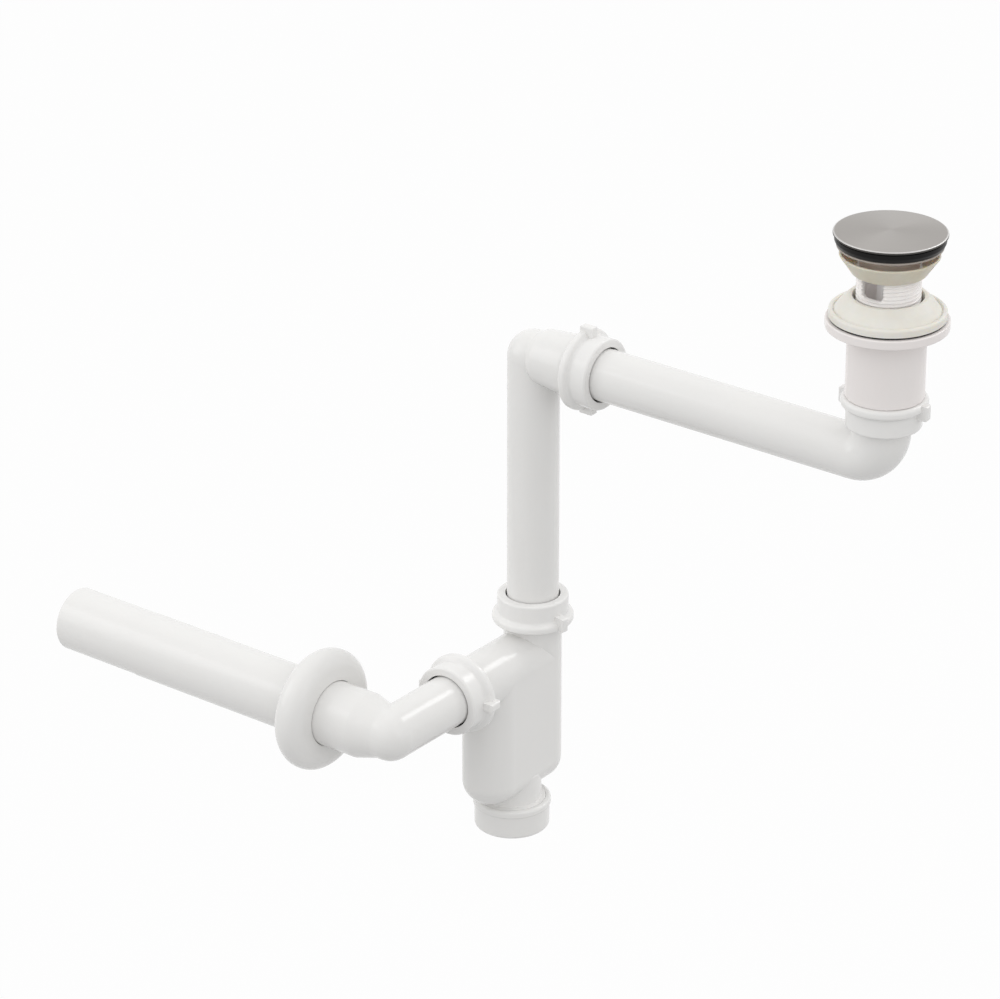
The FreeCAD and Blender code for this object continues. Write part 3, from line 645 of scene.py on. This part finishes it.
def threaded_tube(name, crest, bore, low, high, pitch, depth, plain_end, steps=132):
    """A tube about the Z axis with a real screw thread outside and a plain bore."""
    mesh = bmesh.new()
    profile = thread_profile(depth)
    turns = int((high - low) / pitch) + 2
    outer = []
    for step, angle in enumerate(even_angles(steps)):
        start = low - pitch + pitch * step / steps
        column = []
        for turn in range(turns + 1):
            for rise, sink in profile:
                height = start + (turn + rise) * pitch
                from_end = min(height - low, high - height)
                fade = min(1.0, max(0.0, from_end / plain_end))
                level = min(max(height, low), high)
                column.append(on_ring(crest - sink * fade, angle, level))
        outer.append(ring_row(mesh, column))
    inner = [ring_row(mesh, [on_ring(bore, angle, level) for level in (low, high)])
             for angle in even_angles(steps)]
    for step in range(steps):
        after = (step + 1) % steps
        here, there = outer[step], outer[after]
        if after == 0:
            here, there = here[:-len(profile)], there[len(profile):]
        for i in range(len(here) - 1):
            mesh.faces.new((here[i], there[i], there[i + 1], here[i + 1]))
        mesh.faces.new((inner[step][0], inner[step][1], inner[after][1], inner[after][0]))
        mesh.faces.new((inner[step][0], inner[after][0], there[0], here[0]))
        mesh.faces.new((inner[after][1], inner[step][1], here[-1], there[-1]))
    bmesh.ops.remove_doubles(mesh, verts=mesh.verts, dist=WELD)
    bmesh.ops.dissolve_degenerate(mesh, dist=WELD, edges=mesh.edges)
    return finished_piece(name, mesh)


def rounded_slot(name, width, height, length, ease, centre, steps=6):
    """A block along Y whose four long edges are rounded, to cut a window with."""
    mesh = bmesh.new()
    outline = []
    for corner in range(4):
        x = (width / 2 - ease) * (1 if corner in (0, 3) else -1)
        z = (height / 2 - ease) * (1 if corner in (0, 1) else -1)
        for step in range(steps + 1):
            angle = math.pi / 2 * (corner + step / steps)
            outline.append((x + ease * math.cos(angle), z + ease * math.sin(angle)))
    near = ring_row(mesh, [(x, -length / 2, z) for x, z in outline])
    far = ring_row(mesh, [(x, length / 2, z) for x, z in outline])
    mesh.faces.new(near)
    mesh.faces.new(far[::-1])
    for i in range(len(outline)):
        j = (i + 1) % len(outline)
        mesh.faces.new((near[i], far[i], far[j], near[j]))
    piece = finished_piece(name, mesh)
    piece.location = centre
    return piece


def cut(piece, cutter):
    """Cuts the cutter out of the piece, and removes the cutter."""
    modifier = piece.modifiers.new("Cut", "BOOLEAN")
    modifier.operation = "DIFFERENCE"
    modifier.solver = "EXACT"
    modifier.object = cutter
    graph = bpy.context.evaluated_depsgraph_get()
    made = bpy.data.meshes.new_from_object(piece.evaluated_get(graph))
    piece.modifiers.clear()
    piece.data = made
    bpy.data.objects.remove(cutter)


def add_boss(mesh, radius, bore, top, bottom, steps=48):
    """A short tube with an eased outer edge at each end."""
    ease = 0.8 * MM
    top_ease = 0.3 * ease
    profile = ((bore, top), (radius - top_ease, top), (radius, top - top_ease),
               (radius, bottom + ease), (radius - ease, bottom), (bore, bottom))
    rows = [ring_row(mesh, [on_ring(out, angle, level) for angle in even_angles(steps)])
            for out, level in profile]
    for row, after in zip(rows, rows[1:] + rows[:1]):
        for i in range(steps):
            j = (i + 1) % steps
            mesh.faces.new((row[i], after[i], after[j], row[j]))


def add_rib(mesh, turn, start, end, width, top, bottom):
    """A straight bar from start to end along X, turned about the Z axis."""
    corners = []
    for level in (top, bottom):
        for x, y in ((start, -width / 2), (end, -width / 2), (end, width / 2),
                     (start, width / 2)):
            corners.append(mesh.verts.new(turn @ Vector((x, y, level))))
    for face in ((0, 1, 2, 3), (7, 6, 5, 4), (0, 4, 5, 1), (1, 5, 6, 2), (2, 6, 7, 3),
                 (3, 7, 4, 0)):
        mesh.faces.new([corners[i] for i in face])


def spider(name, boss_radius, boss_bore, top, height, rib_end, ribs, rib_width, inset):
    """The boss inside the neck, with the ribs that carry it."""
    sunk = 1 * MM                        # how far a rib starts inside the boss
    mesh = bmesh.new()
    add_boss(mesh, boss_radius, boss_bore, top, top - height)
    for rib in range(ribs):
        add_rib(mesh, Matrix.Rotation(2 * math.pi * rib / ribs, 4, "Z"), boss_radius - sunk,
                rib_end, rib_width, top - inset, top - height + inset)
    return finished_piece(name, mesh)


class TRAP_OT_threaded_neck(bpy.types.Operator):
    """The neck with its real thread, its two overflow windows and the spider inside"""

    bl_idname = "trap.threaded_neck"
    bl_label = "Threaded Neck"

    def execute(self, context):
        colours = context.scene.trap_colours
        neck = context.scene.trap_neck
        low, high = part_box("threaded_neck")
        crest = (high.x - low.x) / 2
        bore = crest - neck.wall
        rib_in_wall = 0.5 * MM
        inner_skin = 0.3 * MM
        through_both_walls = 2.4 * crest
        tube = threaded_tube("neck_thread", crest, bore, low.z, high.z, neck.pitch, neck.depth,
                             plain_end=0.9 * MM)
        window_z = -neck.window_top - neck.window_height / 2
        cut(tube, rounded_slot("window_cutter", neck.window_width, neck.window_height,
                               through_both_walls, neck.window_ease, Vector((0, 0, window_z))))
        inside = spider("neck_spider", boss_radius=6.6 * MM, boss_bore=4.05 * MM,
                        top=-36.0 * MM, height=14 * MM, rib_end=bore + rib_in_wall, ribs=4,
                        rib_width=2 * MM, inset=2 * MM)
        finish = moulded("neck_white_lifted_for_shade", tuple(colours.neck_white_lifted_for_shade), colours.gloss + 0.04,
                         warmth=(1.0, 0.99, 0.985), glow=0.3, glow_depth=3 * MM)
        radius = reach(finish.along(BASIN_SEAT, TO_WASTE), finish.along(BASIN_SEAT, TO_OUTLET))
        # Painted glow: the bore's inner skin emits faint light, in place of daylight through the
        # wall.
        painted_glow_wall = radius < bore + inner_skin
        finish.set("Emission Color", finish.blend(painted_glow_wall, UNLIT, PAINTED_THROUGH_GLOW))
        finish.set("Emission Strength", 1.0)
        for piece in (tube, inside):
            finish.assign(piece, crisp_angle=THREAD_CRISP_ANGLE)
            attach(piece, "waste")
            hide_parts("threaded_neck")
        return {"FINISHED"}


def stand_camera(scene, studio):
    """The camera at its place, looking along its azimuth and down by its elevation."""
    data = bpy.data.cameras.new("camera")
    data.sensor_width = 36
    data.lens = studio.lens
    data.clip_start = 0.05
    data.clip_end = 60
    camera = bpy.data.objects.new("camera", data)
    camera.location = studio.place
    forward = Vector((-math.sin(studio.azimuth) * math.cos(studio.elevation),
                      math.cos(studio.azimuth) * math.cos(studio.elevation),
                      -math.sin(studio.elevation)))
    camera.rotation_euler = forward.to_track_quat("-Z", "Y").to_euler()
    scene.collection.objects.link(camera)
    scene.camera = camera


def soft_lamp(name, target, offset, width, height, power):
    """A rectangular soft lamp at an offset from the target, which it points at."""
    data = bpy.data.lights.new(name, "AREA")
    data.shape = "RECTANGLE"
    data.size = width
    data.size_y = height
    data.energy = power
    lamp = bpy.data.objects.new(name, data)
    lamp.location = target + Vector(offset)
    lamp.rotation_euler = (-Vector(offset)).to_track_quat("-Z", "Y").to_euler()
    bpy.context.scene.collection.objects.link(lamp)


def white_backdrop(owner, lit, white_kind, output_kind, share=1.0):
    """White to the camera and in reflections, and the lit node's shade to everything else."""
    shader = Shader(owner)
    camera, glossy, transmission = [
        shader.add("ShaderNodeLightPath", output=ray)
        for ray in ("Is Camera Ray", "Is Glossy Ray", "Is Transmission Ray")]
    seen = camera.math("MAXIMUM", glossy).math("MAXIMUM", transmission)
    lit_kind, lit_inputs = lit
    mix = shader.add("ShaderNodeMixShader", None, {
        "Fac": seen * share,
        1: shader.add(lit_kind, None, lit_inputs),
        2: shader.add(white_kind, None, {"Color": PLAIN_WHITE, "Strength": 1.0}),
    })
    shader.add(output_kind, None, {"Surface": mix})


class TRAP_OT_studio(bpy.types.Operator):
    """Camera at the photograph's view, soft lamps, even room light and a pale floor"""

    bl_idname = "trap.studio"
    bl_label = "Studio"

    def execute(self, context):
        scene = context.scene
        studio = scene.trap_studio
        stand_camera(scene, studio)

        centre = (Vector(cad_box[0]) + Vector(cad_box[1])) / 2
        soft_lamp("key_lamp", centre, offset=(-0.88, -1.84, 2.16), width=3.4, height=2.2,
                  power=studio.key_power)
        soft_lamp("left_lamp", centre, offset=(-2.2, -1.5, 1.1), width=1.5, height=1.8,
                  power=studio.left_power)
        soft_lamp("side_lamp", centre, offset=(1.91, -0.46, 0.99), width=1.2, height=1.6,
                  power=studio.side_power)
        soft_lamp("glint_lamp", centre, offset=(0.68, 1.83, 1.63), width=0.60, height=1.10,
                  power=studio.glint_power)

        room = bpy.data.worlds.new("room")
        even_light = ("ShaderNodeBackground", {"Color": PLAIN_WHITE, "Strength": studio.sky})
        white_backdrop(room, even_light, "ShaderNodeBackground", "ShaderNodeOutputWorld")
        scene.world = room

        bpy.ops.mesh.primitive_grid_add(x_subdivisions=8, y_subdivisions=8, size=30,
                                        location=(0, 4, -studio.floor_drop))
        floor = context.active_object
        floor.name = "studio_floor"
        floor_white = bpy.data.materials.new("floor_white")
        pale_grey = ("ShaderNodeBsdfDiffuse", {"Color": (0.5, 0.5, 0.5)})
        white_backdrop(floor_white, pale_grey, "ShaderNodeEmission", "ShaderNodeOutputMaterial",
                       share=0.97)
        floor.data.materials.append(floor_white)

        scene.view_settings.view_transform = "Standard"
        return {"FINISHED"}


OPERATORS = (
    TRAP_OT_white_mouldings,
    TRAP_OT_ring_nuts,
    TRAP_OT_rubbers,
    TRAP_OT_steel,
    TRAP_OT_cartridge,
    TRAP_OT_threaded_neck,
    TRAP_OT_studio,
)
GROUPS = {
    "trap_colours": TRAP_PG_colours,
    "trap_neck": TRAP_PG_neck,
    "trap_studio": TRAP_PG_studio,
}


class TRAP_PT_panel(bpy.types.Panel):
    """Lists the trap's steps and settings"""

    bl_idname = "TRAP_PT_panel"
    bl_label = "Basin Trap"
    bl_space_type = "VIEW_3D"
    bl_region_type = "UI"
    bl_category = "Basin Trap"

    def draw(self, context):
        column = self.layout.column(align=True)
        for operator in OPERATORS:
            column.operator(operator.bl_idname)
        for group_name, group in GROUPS.items():
            box = self.layout.box()
            for name in group.__annotations__:
                box.prop(getattr(context.scene, group_name), name)


def register():
    for group in GROUPS.values():
        bpy.utils.register_class(group)
    for operator in OPERATORS:
        bpy.utils.register_class(operator)
    bpy.utils.register_class(TRAP_PT_panel)
    for name, group in GROUPS.items():
        setattr(bpy.types.Scene, name, bpy.props.PointerProperty(type=group))


def unregister():
    for name in GROUPS:
        delattr(bpy.types.Scene, name)
    bpy.utils.unregister_class(TRAP_PT_panel)
    for operator in reversed(OPERATORS):
        bpy.utils.unregister_class(operator)
    for group in reversed(GROUPS.values()):
        bpy.utils.unregister_class(group)


def main():
    register()
    bpy.ops.trap.white_mouldings()
    bpy.ops.trap.ring_nuts()
    bpy.ops.trap.rubbers()
    bpy.ops.trap.steel()
    bpy.ops.trap.cartridge()
    bpy.ops.trap.threaded_neck()
    bpy.ops.trap.studio()


if __name__ == "__main__":
    main()
